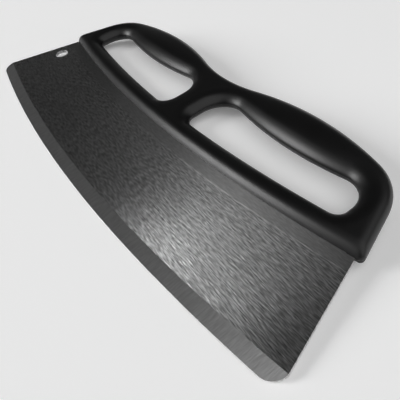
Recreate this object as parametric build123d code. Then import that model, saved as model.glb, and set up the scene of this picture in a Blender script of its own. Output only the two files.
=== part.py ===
from build123d import *
import os
from math import cos, radians, sin, sqrt

# Rocking pizza knife lying flat: X runs along its length, Y from the cutting edge to the
# grips, Z up through its thickness. The outlines are drawn about the handle line, the line
# that joins the two points where the blade's ends enter the handle, with Z = 0 in the
# middle of the sheet. The last step moves every piece to the origin, which is under the
# middle of the object's box.

# Blade: one sheet of stainless steel
blade_length = 300.0          # between the two lower corners before they are rounded
handle_line_length = 264.0    # blade length where its ends enter the handle
end_drop = 56.0               # from the handle line down to the lower corners
edge_radius = 930.0           # sweep of the cutting edge
corner_radius = 7.5           # rounding of the two lower corners
sheet_thickness = 2.0
bevel_width = 7.0             # ground band along the cutting edge
edge_thickness = 0.3          # what the grinding leaves at the very edge

# Hanging hole near one end of the blade
hole_diameter = 9.5
hole_from_end = 11.0          # from the end edge, measured along X
hole_drop = 17.0              # below the handle line

# Tang: the band of the same sheet that the handle hides, and the pins through it
tang_height = 9.0
tang_end_step = 4.0           # shoulder between the tang's end and the blade's end
tang_clearance = 0.3          # gap above the tang and past its ends, inside the shells
pin_count = 5
pin_diameter = 3.5
pin_length = 5.4
pin_from_tang_end = 20.0      # from the centre of an outer pin to the tang's end
pin_rise = 5.3                # from the handle's lower side to the pin centres
pin_hole_clearance = 0.1      # on the diameter of the holes in the tang
socket_end_clearance = 0.3    # past each end of a pin

# Handle: a bar with two finger openings, moulded as two mirrored half shells
handle_curve_radius = 790.0   # sweep of the lower side, which crosses the blade
lip = 3.5                     # how far the handle overhangs the blade's ends
end_slant = 19.0              # lean of the two ends, in degrees
crest_height = 50.5           # top of each grip above the handle line
crest_shift = 3.5             # of each grip's top outwards from the middle of its opening
crest_fall = 8.06             # of the top line from there to the opening's outer end
saddle_dip = 9.3              # of the middle below the grips' tops
shoulder_radius = 28.0        # outer upper corners
lip_radius = 2.5              # outer lower corners
handle_thickness = 12.0
edge_round = 5.0              # rounding of every long edge of the shells

# Lower bar and its sloping face, which comes down on the blade
bar_width = 13.0
slope_run = 5.5
slope_blend = 4.0             # rounding where the slope meets the flat of the bar

# Finger openings
web_width = 21.0              # between the two openings
end_post_width = 21.0         # from an opening to the handle's end, along the handle line
grip_width = 24.1             # from an opening's upper side to the grip's top
underside_sag = 6.67          # of the grip's lower side into the opening
inner_upper_radius = 14.0
inner_lower_radius = 7.3
outer_upper_radius = 12.0
outer_lower_radius = 5.3
rounding_room_share = 0.8     # of an opening's end that its two roundings may take up

# Swell of the grips over the flat of the handle
grip_thickness = 16.0
swell_place_share = (0.0, 0.25, 0.5, 0.75, 1.0)    # of the opening's length
swell_width_share = (0.6, 0.92, 1.0, 0.92, 0.6)    # of the grip's width there
swell_height_share = (-0.3, 0.6, 1.0, 0.6, -0.3)   # of the swell's rise

# Cores that lighten the shells, and the ribs across them
shell_wall = 2.6
rib_thickness = 1.6
ribs_per_grip = 4
overrun = 3.0                 # how far cutters run past what they cut
half_turn = 180.0


def arc_radius(half_width, rise):
    """Radius of the arc that rises by that much over half its width."""
    return (half_width**2 + rise**2) / (2 * rise)


half_line = handle_line_length / 2
half_blade = blade_length / 2
half_sheet = sheet_thickness / 2
half_handle = handle_thickness / 2
half_grip = grip_thickness / 2

# Centres of the two long sweeps, both above the blade
handle_centre = Vector(0, sqrt(handle_curve_radius**2 - half_line**2))
edge_centre = Vector(0, sqrt(edge_radius**2 - half_blade**2) - end_drop)
blade_depth = edge_radius - edge_centre.Y

# Opening limits
lip_x = half_line + lip
opening_inner_x = web_width / 2
opening_outer_x = lip_x - end_post_width
opening_middle_x = (opening_inner_x + opening_outer_x) / 2
opening_length = opening_outer_x - opening_inner_x
opening_low_radius = handle_curve_radius - bar_width

# Sweeps of the grips, from the heights of their arcs
crest_offset = opening_middle_x + crest_shift
crest_radius = arc_radius(opening_outer_x - crest_offset, crest_fall)
saddle_radius = arc_radius(crest_offset, saddle_dip) - crest_radius
underside_radius = arc_radius(opening_length / 2, underside_sag)
underside_centre = Vector(opening_middle_x, crest_height - grip_width + underside_radius)
pin_span = 2 * (half_line - tang_end_step - pin_from_tang_end)


def line_meets_circle(start, direction, centre, radius):
    """Both distances along a line at which it crosses a circle, the nearer one first."""
    offset = start - centre
    along = offset.dot(direction)
    root = sqrt(along**2 - offset.dot(offset) + radius**2)
    return -along - root, -along + root


def below(centre, radius, x):
    """Height of the lower half of a circle at x."""
    return centre.Y - sqrt(radius**2 - (x - centre.X) ** 2)


def above(centre, radius, x):
    """Height of the upper half of a circle at x."""
    return centre.Y + sqrt(radius**2 - (x - centre.X) ** 2)


def flipped(point):
    """The same point on the left-hand side."""
    return Vector(-point.X, point.Y)


def corners_near(face, points):
    """The face's vertices that lie at the given points."""
    return [min(face.vertices(), key=lambda v: (Vector(v) - p).length) for p in points]


def band_arc(centre, radius, half_width):
    """The lower arc of a circle between x = -half_width and x = half_width."""
    left = Vector(-half_width, below(centre, radius, half_width))
    return ThreePointArc(left, Vector(0, centre.Y - radius), flipped(left))


def handle_outline(inset=0.0, rounded=True):
    """Plan of the handle without its openings, drawn inside its edge by the inset."""
    lean = radians(end_slant)
    end_start = Vector(lip_x - inset / cos(lean), 0)
    end_direction = Vector(-sin(lean), cos(lean))
    lower_radius = handle_curve_radius - inset
    crest = crest_height - inset
    top_radius = crest_radius - inset
    crest_centre = Vector(crest_offset, crest - top_radius)
    saddle_centre = Vector(0, crest_height - saddle_dip + saddle_radius)

    low_reach = min(
        line_meets_circle(end_start, end_direction, handle_centre, lower_radius), key=abs
    )
    high_reach = line_meets_circle(end_start, end_direction, crest_centre, top_radius)[1]
    low = end_start + end_direction * low_reach
    high = end_start + end_direction * high_reach
    join = crest_centre + (saddle_centre - crest_centre).normalized() * top_radius
    crest_top = Vector(crest_offset, crest)

    outline = make_face(
        [
            ThreePointArc(flipped(low), Vector(0, handle_centre.Y - lower_radius), low),
            Line(low, high),
            ThreePointArc(high, crest_top, join),
            ThreePointArc(join, Vector(0, crest - saddle_dip), flipped(join)),
            ThreePointArc(flipped(join), flipped(crest_top), flipped(high)),
            Line(flipped(high), flipped(low)),
        ]
    )
    outline = fillet(corners_near(outline, [high, flipped(high)]), shoulder_radius - inset)
    if rounded:
        outline = fillet(corners_near(outline, [low, flipped(low)]), lip_radius)
    return outline


def right_opening(grow=0.0):
    """Plan of the right-hand finger opening, drawn outside its edge by grow."""
    inner, outer = opening_inner_x - grow, opening_outer_x + grow
    low_radius = opening_low_radius + grow
    top_radius = underside_radius - grow
    inner_low = Vector(inner, below(handle_centre, low_radius, inner))
    outer_low = Vector(outer, below(handle_centre, low_radius, outer))
    inner_high = Vector(inner, below(underside_centre, top_radius, inner))
    outer_high = Vector(outer, below(underside_centre, top_radius, outer))
    middle_low = Vector(opening_middle_x, below(handle_centre, low_radius, opening_middle_x))
    middle_high = Vector(opening_middle_x, underside_centre.Y - top_radius)
    outline = make_face(
        [
            ThreePointArc(inner_low, middle_low, outer_low),
            Line(outer_low, outer_high),
            ThreePointArc(outer_high, middle_high, inner_high),
            Line(inner_high, inner_low),
        ]
    )
    ends = (
        ((inner_low, inner_lower_radius), (inner_high, inner_upper_radius)),
        ((outer_low, outer_lower_radius), (outer_high, outer_upper_radius)),
    )
    for (low, low_rounding), (high, high_rounding) in ends:
        room = rounding_room_share * (high.Y - low.Y - 2 * grow)
        fit = min(1, room / (low_rounding + high_rounding))
        outline = fillet(corners_near(outline, [low]), low_rounding * fit + grow)
        outline = fillet(corners_near(outline, [high]), high_rounding * fit + grow)
    return outline


def both_sides(shape):
    """A right-hand shape and its mirror image on the left."""
    return [shape, mirror(shape, about=Plane.YZ)]


def pin_places():
    """Centres of the pins, spread along the lower bar on its own curve."""
    step = pin_span / (pin_count - 1)
    radius = handle_curve_radius - pin_rise
    xs = [index * step - pin_span / 2 for index in range(pin_count)]
    return [Vector(x, below(handle_centre, radius, x)) for x in xs]


def tang_plan(grow=0.0):
    """Plan of the tang and of a stretch of blade below it, grown by a clearance."""
    half_width = half_line - tang_end_step + grow
    top = band_arc(handle_centre, handle_curve_radius - tang_height - grow, half_width)
    foot = Vector(half_width, handle_centre.Y - handle_curve_radius - overrun)
    return make_face([top, Line(top @ 1, foot), Line(foot, flipped(foot)), Line(flipped(foot), top @ 0)])


def blade_plan():
    """Plan of the blade below the handle's lower side, without the tang."""
    shoulder = Vector(half_line, 0)
    corner = Vector(half_blade, -end_drop)
    edge = ThreePointArc(flipped(corner), Vector(0, -blade_depth), corner)
    top = band_arc(handle_centre, handle_curve_radius, half_line)
    plan = make_face([edge, Line(corner, shoulder), top, Line(flipped(shoulder), flipped(corner))])
    return fillet(corners_near(plan, [corner, flipped(corner)]), corner_radius)


def ground_body():
    """Solid of revolution that leaves the ground bevels on both faces of the sheet."""
    half_edge = edge_thickness / 2
    bevel_height = half_sheet - half_edge
    low_align = (Align.CENTER, Align.CENTER, Align.MIN)
    upper = Cylinder(edge_radius, half_edge, align=low_align)
    bevel = Cone(edge_radius, edge_radius - bevel_width, bevel_height, align=low_align)
    upper += Pos(0, 0, half_edge) * bevel
    upper = Pos(edge_centre) * upper
    return upper + mirror(upper, about=Plane.XY)


def make_blade():
    """The sheet with its tang, ground edge, pin holes and hanging hole."""
    body = extrude(blade_plan() + tang_plan(), half_sheet, both=True)
    body &= ground_body()
    for place in pin_places():
        body -= Pos(place) * Cylinder((pin_diameter + pin_hole_clearance) / 2, sheet_thickness + overrun)
    end_x = half_line + hole_drop * (half_blade - half_line) / end_drop
    hole_place = Pos(hole_from_end - end_x, -hole_drop)
    return body - hole_place * Cylinder(hole_diameter / 2, sheet_thickness + overrun)


def sloped_body():
    """Solid of revolution that gives the lower bar its sloping face and rounded brow."""
    low_align = (Align.CENTER, Align.CENTER, Align.MIN)
    slope = Cone(
        handle_curve_radius,
        handle_curve_radius - slope_run,
        half_handle - half_sheet,
        align=low_align,
    )
    slope = fillet(slope.edges().group_by(Axis.Z)[-1], slope_blend)
    foot = Cylinder(handle_curve_radius, half_sheet, align=low_align)
    return Pos(handle_centre) * (foot + Pos(0, 0, half_sheet) * slope)


def grip_swell():
    """The crowned pad that thickens the right-hand grip, as a loft of half ellipses."""
    crest_centre = Vector(crest_offset, crest_height - crest_radius)
    rise = half_grip - half_handle
    sections = []
    shares = zip(swell_place_share, swell_width_share, swell_height_share)
    for place, width, height in shares:
        x = opening_inner_x + place * opening_length
        top = above(crest_centre, crest_radius, x)
        under = below(underside_centre, underside_radius, x)
        reach = (top - under) / 2 * width
        crown = half_handle + rise * height
        arc = EllipticalCenterArc((0, 0), reach, crown, start_angle=0, arc_size=half_turn)
        section = make_face([arc, Line(arc @ 1, arc @ 0)])
        plane = Plane(origin=(x, (top + under) / 2, 0), x_dir=(0, 1, 0), z_dir=(1, 0, 0))
        sections.append(plane * section)
    return loft(sections)


def core_plan():
    """Plan of the hollows inside a shell: everywhere above the lower bar, less the ribs."""
    plan = handle_outline(shell_wall, rounded=False)
    plan -= both_sides(right_opening(shell_wall))
    plan &= Pos(handle_centre) * Circle(opening_low_radius)
    for index in range(ribs_per_grip):
        share = (index + 1) / (ribs_per_grip + 1)
        x = opening_inner_x + share * opening_length
        strip = Pos(x, crest_height - grip_width) * Rectangle(
            rib_thickness, grip_width + overrun, align=(Align.CENTER, Align.MIN)
        )
        plan -= both_sides(strip)
    return plan


def make_front_shell():
    """The half of the handle above the sheet, with its seats for the tang and the pins."""
    sharp = handle_outline(rounded=False)
    plan = sharp - both_sides(right_opening())
    shell = extrude(plan, half_handle)
    shell = fillet(shell.faces().sort_by(Axis.Z)[-1].edges(), edge_round)
    shell &= sloped_body()
    shell += both_sides(grip_swell())
    shell -= extrude(sharp - handle_outline(), half_handle)
    shell -= extrude(core_plan(), half_handle - shell_wall)
    shell -= extrude(tang_plan(tang_clearance), half_sheet)
    for place in pin_places():
        shell -= Pos(place) * Cylinder(pin_diameter / 2, pin_length + 2 * socket_end_clearance)
    return shell


def make_pins():
    """The pins that hold the tang in the handle."""
    return [Pos(place) * Cylinder(pin_diameter / 2, pin_length) for place in pin_places()]


def main():
    front_shell = make_front_shell()
    pieces = {
        "blade": make_blade(),
        "front_shell": front_shell,
        "rear_shell": mirror(front_shell, about=Plane.XY),
        "tang_pins": Compound(children=make_pins()),
    }
    to_origin = Pos(0, (blade_depth - crest_height) / 2, half_grip)
    os.makedirs("parts", exist_ok=True)
    for name, piece in pieces.items():
        export_step(to_origin * piece, f"parts/{name}.step")


if __name__ == "__main__":
    main()
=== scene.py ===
from math import atan, cos, pi, radians, sin, sqrt, tan

import bmesh
import bpy
import numpy as np
from mathutils import Matrix, Vector


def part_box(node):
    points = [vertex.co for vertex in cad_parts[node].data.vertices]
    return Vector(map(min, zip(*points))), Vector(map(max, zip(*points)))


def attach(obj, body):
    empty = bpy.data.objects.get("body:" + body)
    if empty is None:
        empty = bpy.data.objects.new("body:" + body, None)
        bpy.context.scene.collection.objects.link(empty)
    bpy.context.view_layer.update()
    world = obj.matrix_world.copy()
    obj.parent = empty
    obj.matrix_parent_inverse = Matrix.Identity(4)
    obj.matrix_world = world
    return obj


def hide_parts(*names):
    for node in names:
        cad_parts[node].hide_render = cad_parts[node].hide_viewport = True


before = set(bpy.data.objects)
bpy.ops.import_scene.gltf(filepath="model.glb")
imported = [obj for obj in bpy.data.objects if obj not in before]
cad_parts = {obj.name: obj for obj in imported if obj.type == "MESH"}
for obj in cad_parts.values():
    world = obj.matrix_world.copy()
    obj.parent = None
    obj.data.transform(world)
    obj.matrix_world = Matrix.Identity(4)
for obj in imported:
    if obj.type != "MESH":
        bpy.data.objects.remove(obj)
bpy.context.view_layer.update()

bl_info = {
    "name": "Rocking Pizza Knife",
    "version": (1, 0, 0),
    "blender": (4, 5, 0),
    "location": "View3D > Sidebar > Knife",
    "description": "Builds a rocking pizza knife: a brushed steel blade under a black handle",
    "category": "Add Mesh",
}

MM = 0.001
GRIP_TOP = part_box("front_shell")[1][1]
MIDDLE_HEIGHT = (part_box("blade")[0][2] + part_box("blade")[1][2]) / 2

# Powers of the curves that round the edges: 1 is a straight slope, 2 a circle or an ellipse
RIM_POWER = 2.0
OPENING_POWER = 1.58
SLOPE_POWER = 1.4
SWELL_LENGTH = 0.58  # from the middle of a grip to where its swell ends, as a share of its opening

# Steps that the curves and faces are cut into
CORNER_STEPS = 16
SIDE_STEPS = 30  # one side of an opening
TOP_STEPS = 40  # from a shoulder to the join with the dip, and from there to the middle
LOW_STEPS = 60  # the handle's lower side, and the tang's top
SHELL_STEPS = (150, 64, 150)  # columns along the lower side, the end and the top
WEB_STEPS = 52  # columns down the middle of the web
ROUNDING_ROWS = 14  # rows in each rounding, closer together at the edge
FACE_ROWS = 15  # rows between the two roundings
RIM_MARKS = (80, 140)  # steps of the end and of the top that distances are taken to
OPENING_MARKS = 60  # the same for each side of an opening
BAND_COLUMNS, BAND_ROWS = 160, 16  # the blade's ground band
BLADE_CORNER_STEPS = 48
HOLE_STEPS = 64
SAME_PLACE = 0.001 * MM  # vertices this close are one

# The search for a corner's centre: its turns, and the heights over the handle line it starts at
SOLVER_TURNS = 12
LIP_GUESS = 4 * MM
OPENING_GUESS = 15 * MM
BLADE_GUESS = -40 * MM

# Edges past these angles are shaded as sharp, and the sheet's edges past the last are broken
SHEET_CREASE = radians(3)
MOULDING_CREASE = radians(50)
BREAK_CREASE = radians(50)
BAND_SLOPE = (0.9, 0.9999)  # Z of a ground face's normal, between a wall's and the flat's

# Noise scales per metre along X, Y and Z
HAIRS = (310, 2250, 310)
BRUSHING = (180, 1800, 180)
GRINDING = (1500, 200, 200)
GRAIN = (2200, 2200, 2200)
CLOUDS = (60, 60, 60)
RINGS = (300, 300, 4000)
NOISE_LOW, NOISE_HIGH = 0.3, 0.7  # what most of a noise field lies between

# Marks in the steel and the plastic, with a painted glint along the steel's scribed line
BRUSHING_DEPTH = 0.16 * MM
GRINDING_DEPTH = 0.1 * MM
GRAIN_DEPTH = 0.05 * MM
BRUSHING_TURN = radians(0.8)  # of the deeper lines out of the hairs' direction
BRUSHED_ROUGHNESS = 0.275  # any smoother, and the denoiser blurs the brushing
STREAK_TINT = 0.6  # how far the brushing lightens the steel at most
STREAK_SHADE = 0.36  # how far it darkens the steel at most
SCRIBE_DROP = 7 * MM  # from the handle's lower side down to the scribed line
SCRIBE_WIDTH = 0.7 * MM
SCRIBE_GLINT_FADE = 40 * MM  # from the middle of the blade to where the line's painted glint is at its clearest, on the right-hand part where the sheen falls
SCRIBE_GLINT = 0.9  # how far the line lightens the steel at most: a painted glint
CALM = 0.3  # share of the brushing that is left above the line
SHEEN_FADE = 40 * MM  # from the handle's lower side down to where the sheen is at its fullest
SHEEN = (0.955, 1.0)  # how far the brushing draws reflections out, at the handle and below

# The floor: the handle's lower side under the handle line, and the floor's touch in from there
BAR_DROP = 11.1 * MM
BAR_TOUCH = 1.6 * MM
FLOOR_SIZE = 12.0

# Lamps: name, azimuth and elevation in degrees, width and height in degrees, brightness
LAMP_DISTANCE = 5.0
SOFTBOXES = (
    ("side_softbox", 236.7, 27, 18.5, 28, 10.8),
    ("narrow_softbox", 229.3, 27, 6, 28, 9.2),
    ("rear_softbox", 150, 36, 22, 22, 0.05),
    ("overhead_softbox", 11, 55, 80, 90, 0.9),
)
# The studio's walls: the heights that they darken between, and how bright they are there
WALLS = {"From Min": 0.06, "From Max": 0.18, "To Min": 0.6, "To Max": 0.03}

# The camera fitted to the photograph, from the handle line: its place, right, down and forward
CAMERA_PLACE = Vector((0.18356, -0.08114, 0.14486))
CAMERA_RIGHT = Vector((0.576576, 0.799339, -0.169164))
CAMERA_DOWN = Vector((0.544598, -0.530331, -0.649739))
CAMERA_AHEAD = Vector((-0.609075, 0.282498, -0.741095))


def length(name, description, default):
    """A size in metres that the sidebar shows in the scene's units."""
    return bpy.props.FloatProperty(
        name=name,
        description=description,
        default=default * MM,
        min=0.0,
        unit="LENGTH",
        precision=5,
    )


def colour(name, description, default):
    """A colour with the shown default."""
    return bpy.props.FloatVectorProperty(
        name=name,
        description=description,
        default=default,
        size=3,
        min=0.0,
        max=1.0,
        subtype="COLOR",
    )


class KnifeBladeSettings(bpy.types.PropertyGroup):
    """Sizes and brightness of the steel sheet."""

    blade_length: length("Blade length", "Between the two lower corners before rounding", 300.0)
    handle_line_length: length("Handle line", "Blade length where its ends enter the handle", 264.0)
    end_drop: length("End drop", "From the handle line down to the lower corners", 56.0)
    edge_radius: length("Edge radius", "Sweep of the cutting edge", 930.0)
    corner_radius: length("Corner radius", "Rounding of the lower corners", 7.5)
    sheet_thickness: length("Thickness", "Thickness of the sheet", 2.0)
    bevel_width: length("Bevel width", "Ground band along the cutting edge", 7.0)
    edge_thickness: length("Edge thickness", "What the grinding leaves at the edge", 0.3)
    hole_diameter: length("Hole diameter", "Hanging hole", 9.5)
    hole_from_end: length("Hole from end", "Hole centre from the end edge", 11.0)
    hole_drop: length("Hole drop", "Hole centre below the handle line", 17.0)
    tang_height: length("Tang height", "Height of the hidden tang", 9.0)
    tang_end_step: length("Tang step", "From the blade's end to the tang's end", 4.0)
    edge_break: length("Edge break", "Rounding of the sheet's sharp edges", 0.2)
    steel: bpy.props.FloatProperty(
        name="Steel", description="Brightness of the steel", default=0.56, min=0.0, max=1.0
    )


class KnifeHandleSettings(bpy.types.PropertyGroup):
    """Sizes and colour of the moulded handle."""

    curve_radius: length("Lower sweep", "Sweep of the lower side across the blade", 790.0)
    lip: length("Lip", "Overhang past the blade's ends", 3.5)
    end_slant: bpy.props.FloatProperty(
        name="End slant", description="Lean of the two ends", default=radians(19.0), subtype="ANGLE"
    )
    crest_height: length("Crest height", "Top of each grip above the handle line", 50.5)
    crest_shift: length("Crest shift", "Grip top outwards from its opening's middle", 3.5)
    crest_fall: length("Crest fall", "Fall of the top line to the opening's outer end", 8.06)
    saddle_dip: length("Saddle dip", "Dip of the middle below the grips' tops", 9.3)
    shoulder_radius: length("Shoulder radius", "Outer upper corners", 28.0)
    lip_radius: length("Lip radius", "Outer lower corners", 2.5)
    thickness: length("Thickness", "Thickness of the bars", 12.0)
    grip_thickness: length("Grip thickness", "Thickness at the swell of the grips", 16.0)
    wall: length("Wall", "Straight wall at the parting line", 0.8)
    rim_round: length("Rim round", "Reach of the rounding along the outer edges", 6.0)
    opening_round: length("Opening round", "Reach of the rounding around the openings", 9.0)
    bar_width: length("Bar width", "Width of the lower bar", 13.0)
    slope_run: length("Slope run", "Width of the face that slopes down on the blade", 6.5)
    web_width: length("Web width", "Between the two openings", 21.0)
    end_post_width: length("End post", "From an opening to the handle's end", 21.0)
    grip_width: length("Grip width", "From an opening's upper side to the grip's top", 24.1)
    underside_sag: length("Underside sag", "Sag of a grip's lower side", 6.67)
    inner_upper_radius: length("Inner upper radius", "Opening corner", 14.0)
    inner_lower_radius: length("Inner lower radius", "Opening corner", 7.3)
    outer_upper_radius: length("Outer upper radius", "Opening corner", 12.0)
    outer_lower_radius: length("Outer lower radius", "Opening corner", 5.3)
    blend: length("Blend", "Softness where two faces of the moulding meet", 2.0)
    seam: length("Seam", "Groove of the parting line", 0.08)
    plastic: colour("Plastic", "Colour of the moulded plastic", (0.0003, 0.0003, 0.0004))


class KnifeStageSettings(bpy.types.PropertyGroup):
    """Floor and light around the knife."""

    floor: colour("Floor", "Colour of the floor", (0.97, 0.97, 0.97))
    floor_glow: bpy.props.FloatProperty(
        name="Floor glow",
        description="How much of white the floor shows by itself",
        default=0.125,
        min=0.0,
    )
    lens: bpy.props.FloatProperty(
        name="Lens", description="Focal length of the camera in mm", default=37.8, min=1.0
    )


class StraightSide:
    """A straight side of an outline, with the inside on its left.

    Both kinds of side say how deep inside them a point lies, which way that depth grows, where
    the foot of a point is, and which points trace the side from one place to another.
    """

    def __init__(self, start, end):
        self.start = Vector(start)
        along = (Vector(end) - self.start).normalized()
        self.inward = Vector((-along.y, along.x))

    def depth(self, point):
        return (point - self.start).dot(self.inward)

    def slope(self, point):
        return self.inward

    def foot(self, point):
        return point - self.inward * self.depth(point)

    def trace(self, start, end, steps):
        return [start.lerp(end, i / steps) for i in range(steps + 1)]


class CurvedSide:
    """A side along a circle; facing is 1 where the inside is the circle's own."""

    def __init__(self, centre, radius, facing):
        self.centre, self.radius, self.facing = Vector(centre), radius, facing

    def depth(self, point):
        return (self.radius - (point - self.centre).length) * self.facing

    def slope(self, point):
        return (self.centre - point).normalized() * self.facing

    def foot(self, point):
        return self.centre + (point - self.centre).normalized() * self.radius

    def trace(self, start, end, steps):
        first = start - self.centre
        turn = first.angle_signed(end - self.centre)
        turns = [Matrix.Rotation(-turn * i / steps, 2) for i in range(steps + 1)]
        return [self.centre + turned @ first for turned in turns]


def rounding_centre(side, other, radius, guess):
    """The point that lies the radius inside both sides."""
    point = Vector(guess)
    for _ in range(SOLVER_TURNS):
        a, b = side.slope(point), other.slope(point)
        miss = Vector((radius - side.depth(point), radius - other.depth(point)))
        point += Matrix((a, b)).inverted() @ miss
    return point


def rounded_corner(side, other, radius, guess, steps=CORNER_STEPS):
    """Points of the arc that joins two sides, from the first side to the other."""
    centre = rounding_centre(side, other, radius, guess)
    return CurvedSide(centre, radius, 1).trace(side.foot(centre), other.foot(centre), steps)


def evenly(points, steps):
    """The same line cut into equal steps."""
    line = np.array([tuple(p) for p in points])
    run = np.concatenate([[0], np.cumsum(np.linalg.norm(np.diff(line, axis=0), axis=1))])
    marks = np.linspace(0, run[-1], steps + 1)
    return np.column_stack([np.interp(marks, run, line[:, axis]) for axis in (0, 1)])


def distance_to(line, points):
    """Distance of each point to a line of many short steps."""
    step = np.diff(line, axis=0)
    start, step = line[:-1][step.any(1)], step[step.any(1)]
    offset = points[:, None] - start[None]
    share = np.clip((offset * step).sum(2) / (step**2).sum(1), 0, 1)
    return np.linalg.norm(offset - step * share[..., None], axis=2).min(1)


def arc_radius(half_width, rise):
    """Radius of the arc that rises by that much over half its width."""
    return (half_width**2 + rise**2) / (2 * rise)


def softer_min(a, b, blend):
    """The lower of two heights, with a soft change from one to the other."""
    share = np.clip(0.5 + (b - a) / (2 * blend), 0, 1)
    return b + (a - b) * share - blend * share * (1 - share)


class HandlePlan:
    """Right-hand half of the handle's plan about the handle line, in metres."""

    def __init__(self, blade, handle):
        half_line = blade.handle_line_length / 2
        lip_x = half_line + handle.lip
        self.inner_x = handle.web_width / 2
        self.outer_x = lip_x - handle.end_post_width
        self.middle_x = middle = (self.inner_x + self.outer_x) / 2
        half_width = self.outer_x - middle
        curve = handle.curve_radius
        self.sweep = CurvedSide((0, sqrt(curve**2 - half_line**2)), curve, 1)

        crest_x = middle + handle.crest_shift
        crest = arc_radius(self.outer_x - crest_x, handle.crest_fall)
        saddle = arc_radius(crest_x, handle.saddle_dip) - crest
        top_centre = Vector((crest_x, handle.crest_height - crest))
        dip_centre = Vector((0, handle.crest_height - handle.saddle_dip + saddle))
        top = CurvedSide(top_centre, crest, 1)
        dip = CurvedSide(dip_centre, saddle, -1)
        join = top.foot(dip_centre)
        lean = Vector((-sin(handle.end_slant), cos(handle.end_slant)))
        end = StraightSide((lip_x, 0), Vector((lip_x, 0)) + lean)
        foot = Vector((0, self.sweep.centre.y - curve))
        peak = Vector((0, handle.crest_height - handle.saddle_dip))

        lip = rounded_corner(self.sweep, end, handle.lip_radius, (half_line, LIP_GUESS))
        shoulder = rounded_corner(end, top, handle.shoulder_radius, (middle, 0))
        half = len(lip) // 2
        self.low = self.sweep.trace(foot, lip[0], LOW_STEPS) + lip[1 : half + 1]
        self.end = lip[half:] + shoulder[: half + 1]
        self.high = shoulder[half:] + top.trace(shoulder[-1], join, TOP_STEPS)[1:]
        self.high += dip.trace(join, peak, TOP_STEPS)[1:]

        sag = arc_radius(half_width, handle.underside_sag)
        under_centre = (middle, handle.crest_height - handle.grip_width + sag)
        under = CurvedSide(under_centre, sag, -1)
        floor = CurvedSide(self.sweep.centre, curve - handle.bar_width, 1)
        inner = StraightSide((self.inner_x, 1), (self.inner_x, 0))
        outer = StraightSide((self.outer_x, 0), (self.outer_x, 1))
        inside = (middle, OPENING_GUESS)
        corners = [
            rounded_corner(inner, floor, handle.inner_lower_radius, inside),
            rounded_corner(floor, outer, handle.outer_lower_radius, inside),
            rounded_corner(outer, under, handle.outer_upper_radius, inside),
            rounded_corner(under, inner, handle.inner_upper_radius, inside),
        ]
        between = (floor, outer, under, inner)
        self.opening = []
        for i, side in enumerate(between):
            before, after = corners[i], corners[(i + 1) % 4]
            run = side.trace(before[-1], after[0], SIDE_STEPS)
            self.opening.append(before[half:] + run[1:] + after[1 : half + 1])


def rounding(reach, width, power):
    """Share of the full height that a rounded edge has reached so far in from it."""
    away = 1 - np.clip(reach / width, 0, 1)
    return (1 - away**power) ** (1 / power)


def smooth_step(value, low, high):
    """0 up to the low value and 1 from the high one, with a soft change between."""
    share = np.clip((value - low) / (high - low), 0, 1)
    return share * share * (3 - 2 * share)


def shell_heights(plan, handle, points):
    """Height of the moulding over the middle plane at each point of the plan."""
    x, y = points[:, 0], points[:, 1]
    reach = SWELL_LENGTH * (plan.outer_x - plan.inner_x)
    along = np.clip((x - plan.middle_x) / reach, -1, 1)
    grip_low = handle.crest_height - handle.grip_width
    swell = (1 - along**2) ** 2 * smooth_step(y, handle.bar_width, grip_low)

    rim = np.vstack([evenly(run, steps) for run, steps in zip((plan.end, plan.high), RIM_MARKS)])
    hole = np.vstack([evenly(run, OPENING_MARKS) for run in plan.opening])
    up = plan.sweep.radius - np.linalg.norm(points - np.array(plan.sweep.centre), axis=1)
    grip = handle.grip_width / 2
    rim_reach = handle.rim_round + (grip - handle.rim_round) * swell
    hole_reach = handle.opening_round + (grip - handle.opening_round) * swell
    edges = (
        (distance_to(rim, points), rim_reach, RIM_POWER),
        (distance_to(hole, points), hole_reach, OPENING_POWER),
        (up, handle.slope_run, SLOPE_POWER),
    )
    low = handle.wall / 2
    top = (handle.thickness + (handle.grip_thickness - handle.thickness) * swell) / 2
    rim, hole, slope = (low + (top - low) * rounding(*edge) for edge in edges)
    return np.maximum(softer_min(softer_min(rim, hole, handle.blend), slope, handle.blend), low)


def to_model(points, heights):
    """Row-frame places of points of the plan."""
    up = Vector((0, GRIP_TOP - bpy.context.scene.knife_handle.crest_height, MIDDLE_HEIGHT))
    return [Vector((x, y, z)) + up for (x, y), z in zip(points, heights)]


def grid_of(bm, columns, rows):
    """A new grid's vertices as a list of columns."""
    made = bmesh.ops.create_grid(bm, x_segments=columns, y_segments=rows, size=0.5)["verts"]
    table = [[None] * (rows + 1) for _ in range(columns + 1)]
    for vert in made:
        i = round((vert.co.x + 0.5) * columns)
        j = round((vert.co.y + 0.5) * rows)
        table[i][j] = vert
    return table


def finished(bm, name, nodes, materials, smooth_angle):
    """Turns the bmesh into a piece that stands for its CAD nodes."""
    mesh = bpy.data.meshes.new(name)
    bm.to_mesh(mesh)
    bm.free()
    piece = bpy.data.objects.new(name, mesh)
    bpy.context.scene.collection.objects.link(piece)
    for material in materials:
        mesh.materials.append(material)
    mesh.shade_smooth()
    mesh.set_sharp_from_angle(angle=smooth_angle)
    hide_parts(*nodes)
    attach(piece, "root")
    return piece


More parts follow.
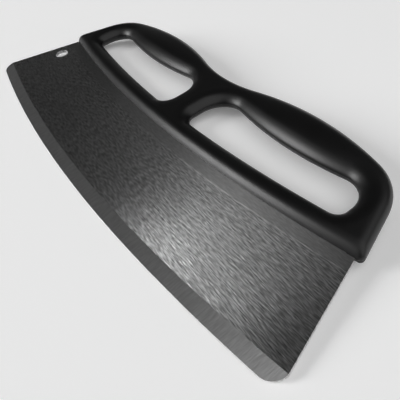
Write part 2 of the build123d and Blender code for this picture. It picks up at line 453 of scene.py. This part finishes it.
def shell_surface(plan, handle):
    """Places of the front's right-hand face, as a column of places for each step round it."""
    turns = np.linspace(0, pi / 2, ROUNDING_ROWS)
    bow = (1 - np.cos(turns) ** (2 / OPENING_POWER)) * handle.rim_round
    runs = zip((plan.low, plan.end, plan.high), SHELL_STEPS)
    outer = [evenly(run, steps)[:-1] for run, steps in runs]
    peak, foot = plan.high[-1].y, plan.low[0].y
    down = np.concatenate([peak - bow, np.linspace(peak - handle.rim_round, foot, WEB_STEPS)[1:]])
    outer.append(np.column_stack([np.zeros_like(down), down])[:-1])
    inner = [evenly(run, len(line)) for run, line in zip(plan.opening, outer)]
    inner = np.vstack([line[:-1] for line in inner])
    outer = np.vstack(outer)

    middle = np.linspace(0, 1, FACE_ROWS)
    near = bow[None] / np.linalg.norm(inner - outer, axis=1)[:, None]
    shares = near[:, -1:] + (1 - 2 * near[:, -1:]) * middle[None, 1:-1]
    shares = np.hstack([near, shares, 1 - near[:, ::-1]])

    places = outer[:, None] + (inner - outer)[:, None] * shares[..., None]
    flat = places.reshape(-1, 2)
    models = to_model(flat, shell_heights(plan, handle, flat))
    rows = shares.shape[1]
    return [models[i : i + rows] for i in range(0, len(models), rows)]


def half_shell(surface, handle, facing):
    """Bmesh of one half of the handle, in front of the middle plane or behind it."""
    bm = bmesh.new()
    count = len(surface)
    for i, column in enumerate(grid_of(bm, count, len(surface[0]) - 1)):
        for vert, place in zip(column, surface[i % count]):
            vert.co = place
    bmesh.ops.remove_doubles(bm, verts=bm.verts, dist=SAME_PLACE)

    # The left-hand half, joined along the middle
    whole = bm.verts[:] + bm.edges[:] + bm.faces[:]
    bmesh.ops.mirror(bm, geom=whole, matrix=Matrix(), axis="X", merge_dist=SAME_PLACE)
    bmesh.ops.remove_doubles(bm, verts=bm.verts, dist=SAME_PLACE)

    # Walls down to the parting line, drawn in at their end for its fine groove
    for level, inset in ((handle.seam, 0.0), (0.0, handle.seam)):
        rim = [edge for edge in bm.edges if edge.is_boundary]
        grown = bmesh.ops.extrude_edge_only(bm, edges=rim)["geom"]
        bmesh.ops.recalc_face_normals(bm, faces=bm.faces)
        bm.normal_update()
        fresh = [part for part in grown if isinstance(part, bmesh.types.BMVert)]
        for vert in fresh:
            vert.co.z = MIDDLE_HEIGHT + level
        bm.normal_update()
        moves = {vert: Vector((vert.normal.x, vert.normal.y, 0)).normalized() for vert in fresh}
        for vert, way in moves.items():
            vert.co -= way * inset
    rim = [edge for edge in bm.edges if edge.is_boundary]
    bmesh.ops.triangle_fill(bm, use_beauty=True, edges=rim)
    if facing < 0:
        over = Matrix.Translation((0, 0, MIDDLE_HEIGHT))
        turned = over @ Matrix.Diagonal((1, 1, -1, 1)) @ over.inverted()
        bmesh.ops.transform(bm, matrix=turned, verts=bm.verts)
    bmesh.ops.recalc_face_normals(bm, faces=bm.faces)
    return bm


def blade_body(blade, plan):
    """Bmesh of the steel sheet with its ground edge, hanging hole and hidden tang."""
    half_line, half_blade = blade.handle_line_length / 2, blade.blade_length / 2
    half = blade.sheet_thickness / 2
    high = sqrt(blade.edge_radius**2 - half_blade**2) - blade.end_drop
    edge = CurvedSide((0, high), blade.edge_radius, 1)
    end = StraightSide((half_blade, -blade.end_drop), (half_line, 0))
    guess = (half_line, BLADE_GUESS)
    corner = rounded_corner(edge, end, blade.corner_radius, guess, BLADE_CORNER_STEPS)
    side = np.array([tuple(p) for p in reversed(corner + [Vector((half_line, 0))])])

    # Ground band, in rows that follow the cutting edge
    count, rows = BAND_COLUMNS, BAND_ROWS
    radii = np.linalg.norm(side - np.array(edge.centre), axis=1)
    shares = np.sin(np.linspace(0, pi / 2, rows + 1))
    ring = blade.edge_radius - blade.bevel_width * (1 - shares)
    bm = bmesh.new()
    table = grid_of(bm, count, rows)
    for j, radius in enumerate(ring):
        reach = np.interp(radius, radii, side[:, 0])
        spread = np.arcsin(reach / radius) * np.linspace(-1, 1, count + 1)
        ground = (radius - ring[0]) / blade.bevel_width
        thick = half - (half - blade.edge_thickness / 2) * ground
        down = edge.centre.y - radius * np.cos(spread)
        places = np.column_stack([radius * np.sin(spread), down])
        for i, place in enumerate(to_model(places, np.full(count + 1, thick))):
            table[i][j].co = place

    # Flat of the sheet above the band, with the tang and the hanging hole
    low = [table[i][0] for i in range(count + 1)]
    tang_x = half_line - blade.tang_end_step
    shoulder_y = plan.sweep.centre.y - sqrt(plan.sweep.radius**2 - tang_x**2)
    tang = CurvedSide(plan.sweep.centre, plan.sweep.radius - blade.tang_height, 1)
    tang_y = tang.centre.y - sqrt(tang.radius**2 - tang_x**2)
    right = [Vector((half_line, 0)), Vector((tang_x, shoulder_y)), Vector((tang_x, tang_y))]
    top = tang.trace(right[-1], Vector((-tang_x, tang_y)), LOW_STEPS)[1:-1]
    left = [Vector((-p.x, p.y)) for p in reversed(right)]
    around = right + top + left
    around = [bm.verts.new(p) for p in to_model(around, [half] * len(around))]
    chain = [low[-1]] + around + [low[0]]
    rim = [bm.edges.new(pair) for pair in zip(chain, chain[1:])]
    rim += [bm.edges.get(pair) for pair in zip(low, low[1:])]
    hole_x = half_line + (half_blade - half_line) * blade.hole_drop / blade.end_drop
    centre = to_model([(blade.hole_from_end - hole_x, -blade.hole_drop)], [half])[0]
    at_hole = Matrix.Translation(centre)
    circle = bmesh.ops.create_circle(
        bm, segments=HOLE_STEPS, radius=blade.hole_diameter / 2, matrix=at_hole
    )["verts"]
    rim += {link for vert in circle for link in vert.link_edges}
    bmesh.ops.triangle_fill(bm, use_beauty=True, edges=rim)

    # Walls to the middle of the sheet, then the other face
    rim = [link for link in bm.edges if link.is_boundary]
    grown = bmesh.ops.extrude_edge_only(bm, edges=rim)["geom"]
    for part in grown:
        if isinstance(part, bmesh.types.BMVert):
            part.co.z = MIDDLE_HEIGHT
    under = Matrix.Translation((0, 0, -MIDDLE_HEIGHT))
    whole = bm.verts[:] + bm.edges[:] + bm.faces[:]
    bmesh.ops.mirror(bm, geom=whole, matrix=under, axis="Z", merge_dist=SAME_PLACE)
    bmesh.ops.remove_doubles(bm, verts=bm.verts, dist=SAME_PLACE)
    bmesh.ops.recalc_face_normals(bm, faces=bm.faces)
    brushing = bm.loops.layers.uv.new("brushing")
    for face in bm.faces:
        on_band = BAND_SLOPE[0] < abs(face.normal.z) < BAND_SLOPE[1]
        face.material_index = int(on_band)
        for loop in face.loops:
            x, y = loop.vert.co.xy
            loop[brushing].uv = (x, y) if on_band else (y, x)
    return bm


class Shader:
    """Short words for building one material's nodes."""

    def __init__(self, name):
        self.material = bpy.data.materials.new(name)
        self.material.use_nodes = True
        self.tree = self.material.node_tree
        self.surface = self.tree.nodes["Principled BSDF"]

    def add(self, kind, inputs=(), **settings):
        """A node with its settings, and inputs given as values or as sockets to link."""
        node = self.tree.nodes.new("ShaderNode" + kind)
        for name, value in settings.items():
            setattr(node, name, value)
        self.feed(node, inputs)
        return node

    def feed(self, node, inputs):
        for key, value in dict(inputs).items():
            if isinstance(value, bpy.types.NodeSocket):
                self.tree.links.new(value, node.inputs[key])
            else:
                node.inputs[key].default_value = value

    def coordinates(self, scale, turn):
        """Object coordinates stretched by the scale."""
        source = self.add("TexCoord").outputs["Object"]
        place = self.add("Mapping", {"Vector": source, "Scale": scale, "Rotation": (0, 0, turn)})
        return place.outputs["Vector"]

    def noise(self, scale, detail=2.0, turn=0.0):
        """A noise field over stretched object coordinates."""
        inputs = {"Vector": self.coordinates(scale, turn), "Scale": 1.0, "Detail": detail}
        return self.add("TexNoise", inputs).outputs["Fac"]

    def mapped(self, value, low, high, to_low, to_high):
        """The value moved from one range to another."""
        ranges = {"From Min": low, "From Max": high, "To Min": to_low, "To Max": to_high}
        return self.add("MapRange", {"Value": value, **ranges}).outputs["Result"]

    def spread(self, noise, to_low, to_high):
        """A noise field moved from its usual range to another."""
        return self.mapped(noise, NOISE_LOW, NOISE_HIGH, to_low, to_high)

    def math(self, operation, *values):
        """The result of a sum on values or sockets."""
        return self.add("Math", dict(enumerate(values)), operation=operation).outputs[0]


def brushed_steel(blade, handle):
    """Steel brushed along its length, smoother above a fine line along the handle; the line is a
    painted glint.
    """
    shader = Shader("brushed_steel")
    hairs = shader.noise(HAIRS, 1.0)
    lines = shader.noise(BRUSHING, 1.0, turn=BRUSHING_TURN)

    # How far a point lies below the handle's lower side
    sweep = sqrt(handle.curve_radius**2 - (blade.handle_line_length / 2) ** 2)
    centre = (0, GRIP_TOP - handle.crest_height + sweep, 0)
    place = shader.add("TexCoord").outputs["Object"]
    flat = shader.add("VectorMath", {0: place, 1: (1, 1, 0)}, operation="MULTIPLY")
    reach = shader.add("VectorMath", {0: flat.outputs["Vector"], 1: centre}, operation="DISTANCE")
    below = shader.math("SUBTRACT", reach.outputs["Value"], handle.curve_radius)
    brushed = shader.mapped(below, 0.8 * SCRIBE_DROP, 1.1 * SCRIBE_DROP, CALM, 1.0)

    # The scribed line as a painted glint: lighter steel colour on the right-hand part of the blade,
    # where the sheen falls, broken by the brushing
    across = shader.add("SeparateXYZ", {"Vector": place}).outputs["X"]
    scribe_glint_mask = shader.math("COMPARE", below, SCRIBE_DROP, SCRIBE_WIDTH / 2)
    scribe_glint_mask = shader.math("MULTIPLY", scribe_glint_mask, shader.mapped(across, 0, SCRIBE_GLINT_FADE, 0, 1))
    broken_glint = shader.mapped(lines, 0.4, 0.6, 0, SCRIBE_GLINT)
    scribe_glint = shader.math("MULTIPLY", broken_glint, scribe_glint_mask)

    brushing_and_glint = shader.mapped(hairs, 0.35, NOISE_HIGH, -STREAK_SHADE, STREAK_TINT)
    brushing_and_glint = shader.math("MULTIPLY", brushing_and_glint, brushed)
    brushing_and_glint = shader.math("ADD", brushing_and_glint, scribe_glint)
    # The steel's colour: the brushing's streaks, plus the scribed line's painted glint
    tint = shader.math("MULTIPLY_ADD", brushing_and_glint, blade.steel, blade.steel)
    bump = shader.add("Bump", {"Height": lines, "Strength": brushed, "Distance": BRUSHING_DEPTH})
    tangent = shader.add("Tangent", direction_type="UV_MAP", uv_map="brushing")
    shader.feed(
        shader.surface,
        {
            "Base Color": tint,
            "Metallic": 1.0,
            "Roughness": BRUSHED_ROUGHNESS,
            "Anisotropic": shader.mapped(below, 0, SHEEN_FADE, *SHEEN),
            "Tangent": tangent.outputs["Tangent"],
            "Normal": bump.outputs["Normal"],
        },
    )
    return shader.material


def ground_steel(blade):
    """The ground band, with its marks across the edge."""
    shader = Shader("ground_steel")
    marks = shader.noise(GRINDING)
    tint = shader.spread(marks, 0.88 * blade.steel, 1.12 * blade.steel)
    bump = shader.add("Bump", {"Height": marks, "Strength": 0.6, "Distance": GRINDING_DEPTH})
    tangent = shader.add("Tangent", direction_type="UV_MAP", uv_map="brushing")
    shader.feed(
        shader.surface,
        {
            "Base Color": tint,
            "Metallic": 1.0,
            "Roughness": 0.31,
            "Anisotropic": 0.85,
            "Tangent": tangent.outputs["Tangent"],
            "Normal": bump.outputs["Normal"],
        },
    )
    return shader.material


def moulded_plastic(handle):
    """Black satin plastic with a fine moulded grain."""
    shader = Shader("moulded_plastic")
    grain = shader.noise(GRAIN)
    cloud = shader.noise(CLOUDS, 3.0)
    rough = shader.spread(cloud, 0.37, 0.41)
    bump = shader.add("Bump", {"Height": grain, "Strength": 0.1, "Distance": GRAIN_DEPTH})
    shader.feed(
        shader.surface,
        {
            "Base Color": (*handle.plastic, 1),
            "Roughness": rough,
            "Normal": bump.outputs["Normal"],
        },
    )
    return shader.material


def pin_steel():
    """Plain turned steel of the hidden pins."""
    shader = Shader("pin_steel")
    rings = shader.noise(RINGS)
    shader.feed(
        shader.surface,
        {
            "Base Color": (0.5, 0.5, 0.5, 1),
            "Metallic": 1.0,
            "Roughness": shader.spread(rings, 0.25, 0.4),
        },
    )
    return shader.material


class KNIFE_OT_blade(bpy.types.Operator):
    """Builds the steel blade"""

    bl_idname = "knife.blade"
    bl_label = "Blade"

    def execute(self, context):
        blade, handle = context.scene.knife_blade, context.scene.knife_handle
        body = blade_body(blade, HandlePlan(blade, handle))
        materials = [brushed_steel(blade, handle), ground_steel(blade)]
        piece = finished(body, "steel_blade", ["blade"], materials, SHEET_CREASE)
        edge_break = piece.modifiers.new("edge_break", "BEVEL")
        edge_break.width = blade.edge_break
        edge_break.segments = 2
        edge_break.limit_method = "ANGLE"
        edge_break.angle_limit = BREAK_CREASE
        return {"FINISHED"}


class KNIFE_OT_handle(bpy.types.Operator):
    """Builds the two half shells of the handle"""

    bl_idname = "knife.handle"
    bl_label = "Handle"

    def execute(self, context):
        blade, handle = context.scene.knife_blade, context.scene.knife_handle
        material = moulded_plastic(handle)
        surface = shell_surface(HandlePlan(blade, handle), handle)
        halves = (("handle_front", "front_shell", 1), ("handle_rear", "rear_shell", -1))
        for name, node, facing in halves:
            body = half_shell(surface, handle, facing)
            finished(body, name, [node], [material], MOULDING_CREASE)
        return {"FINISHED"}


class KNIFE_OT_pins(bpy.types.Operator):
    """Gives the hidden pins their steel"""

    bl_idname = "knife.pins"
    bl_label = "Tang pins"

    def execute(self, context):
        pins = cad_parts["tang_pins"]
        pins.data.materials.clear()
        pins.data.materials.append(pin_steel())
        return {"FINISHED"}


class KNIFE_OT_stage(bpy.types.Operator):
    """Sets the floor, the light and the camera"""

    bl_idname = "knife.stage"
    bl_label = "Stage"

    def execute(self, context):
        scene = context.scene
        build_floor(scene)
        build_lights(scene)
        build_camera(scene)
        scene.view_settings.view_transform = "Standard"
        return {"FINISHED"}


def build_floor(scene):
    """The floor that the cutting edge and the lower bar rest on."""
    blade, handle = scene.knife_blade, scene.knife_handle
    low_edge = Vector((0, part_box("blade")[0][1], MIDDLE_HEIGHT - blade.edge_thickness / 2))
    bar_y = GRIP_TOP - handle.crest_height - BAR_DROP + handle.slope_run + BAR_TOUCH
    rest = Vector((0, bar_y, MIDDLE_HEIGHT - handle.thickness / 2))
    lean = atan((rest.z - low_edge.z) / (rest.y - low_edge.y))
    turn = Matrix.Translation(low_edge) @ Matrix.Rotation(lean, 4, "X")
    bm = bmesh.new()
    bmesh.ops.create_grid(bm, x_segments=1, y_segments=1, size=FLOOR_SIZE, matrix=turn)
    mesh = bpy.data.meshes.new("floor")
    bm.to_mesh(mesh)
    bm.free()
    shader = Shader("floor")
    rays = shader.add("LightPath").outputs
    seen = shader.math("MAXIMUM", rays["Is Camera Ray"], rays["Is Glossy Ray"])
    seen = shader.math("MAXIMUM", seen, rays["Is Transmission Ray"])
    glow = shader.mapped(seen, 0, 1, 0, scene.knife_stage.floor_glow)
    shader.feed(
        shader.surface,
        {
            "Base Color": (*scene.knife_stage.floor, 1),
            "Roughness": 0.9,
            "Specular IOR Level": 0.0,
            "Emission Color": (1, 1, 1, 1),
            "Emission Strength": glow,
        },
    )
    mesh.materials.append(shader.material)
    floor = bpy.data.objects.new("floor", mesh)
    scene.collection.objects.link(floor)


def softbox(scene, name, azimuth, elevation, spread, rise, brightness):
    """A distant rectangular lamp of the given angles, square to the blade's length."""
    lamp = bpy.data.lights.new(name, "AREA")
    lamp.shape = "RECTANGLE"
    sides = (2 * LAMP_DISTANCE * tan(radians(angle) / 2) for angle in (spread, rise))
    lamp.size, lamp.size_y = sides
    lamp.energy = brightness * pi * lamp.size * lamp.size_y
    a, e = radians(azimuth), radians(elevation)
    back = Vector((cos(a) * cos(e), sin(a) * cos(e), sin(e)))
    up = back.cross(Vector((1, 0, 0))).normalized()
    place = bpy.data.objects.new(name, lamp)
    turn = Matrix((up.cross(back), up, back)).transposed().to_4x4()
    place.matrix_world = Matrix.Translation(back * LAMP_DISTANCE) @ turn
    scene.collection.objects.link(place)


def build_lights(scene):
    """Soft studio light."""
    world = bpy.data.worlds.new("studio")
    scene.world = world
    world.use_nodes = True
    tree = world.node_tree
    way = tree.nodes.new("ShaderNodeTexCoord").outputs["Generated"]
    split = tree.nodes.new("ShaderNodeSeparateXYZ")
    fade = tree.nodes.new("ShaderNodeMapRange")
    tree.links.new(way, split.inputs["Vector"])
    tree.links.new(split.outputs["Z"], fade.inputs["Value"])
    for name, value in WALLS.items():
        fade.inputs[name].default_value = value
    tree.links.new(fade.outputs["Result"], tree.nodes["Background"].inputs["Color"])
    for box in SOFTBOXES:
        softbox(scene, *box)


def build_camera(scene):
    """The photograph's view."""
    camera = bpy.data.cameras.new("camera")
    camera.lens = scene.knife_stage.lens
    camera.sensor_width = 36.0
    place = bpy.data.objects.new("camera", camera)
    turn = Matrix((CAMERA_RIGHT, -CAMERA_DOWN, -CAMERA_AHEAD)).transposed()
    handle_line = Vector((0, GRIP_TOP - scene.knife_handle.crest_height, MIDDLE_HEIGHT))
    place.matrix_world = Matrix.Translation(CAMERA_PLACE + handle_line) @ turn.to_4x4()
    scene.collection.objects.link(place)
    scene.camera = place


class KNIFE_PT_panel(bpy.types.Panel):
    """Knife tools in the sidebar."""

    bl_label = "Rocking Pizza Knife"
    bl_idname = "KNIFE_PT_panel"
    bl_space_type = "VIEW_3D"
    bl_region_type = "UI"
    bl_category = "Knife"

    def draw(self, context):
        for operator in OPERATORS:
            self.layout.operator(operator.bl_idname)
        for group in SETTINGS:
            settings = getattr(context.scene, group)
            box = self.layout.box()
            for name in settings.bl_rna.properties.keys():
                if name not in ("name", "rna_type"):
                    box.prop(settings, name)


OPERATORS = (KNIFE_OT_blade, KNIFE_OT_handle, KNIFE_OT_pins, KNIFE_OT_stage)
SETTINGS = {
    "knife_blade": KnifeBladeSettings,
    "knife_handle": KnifeHandleSettings,
    "knife_stage": KnifeStageSettings,
}


def register():
    for settings in SETTINGS.values():
        bpy.utils.register_class(settings)
    for name, settings in SETTINGS.items():
        setattr(bpy.types.Scene, name, bpy.props.PointerProperty(type=settings))
    for kind in (*OPERATORS, KNIFE_PT_panel):
        bpy.utils.register_class(kind)


def unregister():
    for kind in reversed((*OPERATORS, KNIFE_PT_panel)):
        bpy.utils.unregister_class(kind)
    for name, settings in SETTINGS.items():
        delattr(bpy.types.Scene, name)
        bpy.utils.unregister_class(settings)


def main():
    """Builds the knife and its stage."""
    register()
    bpy.ops.knife.blade()
    bpy.ops.knife.handle()
    bpy.ops.knife.pins()
    bpy.ops.knife.stage()


if __name__ == "__main__":
    main()
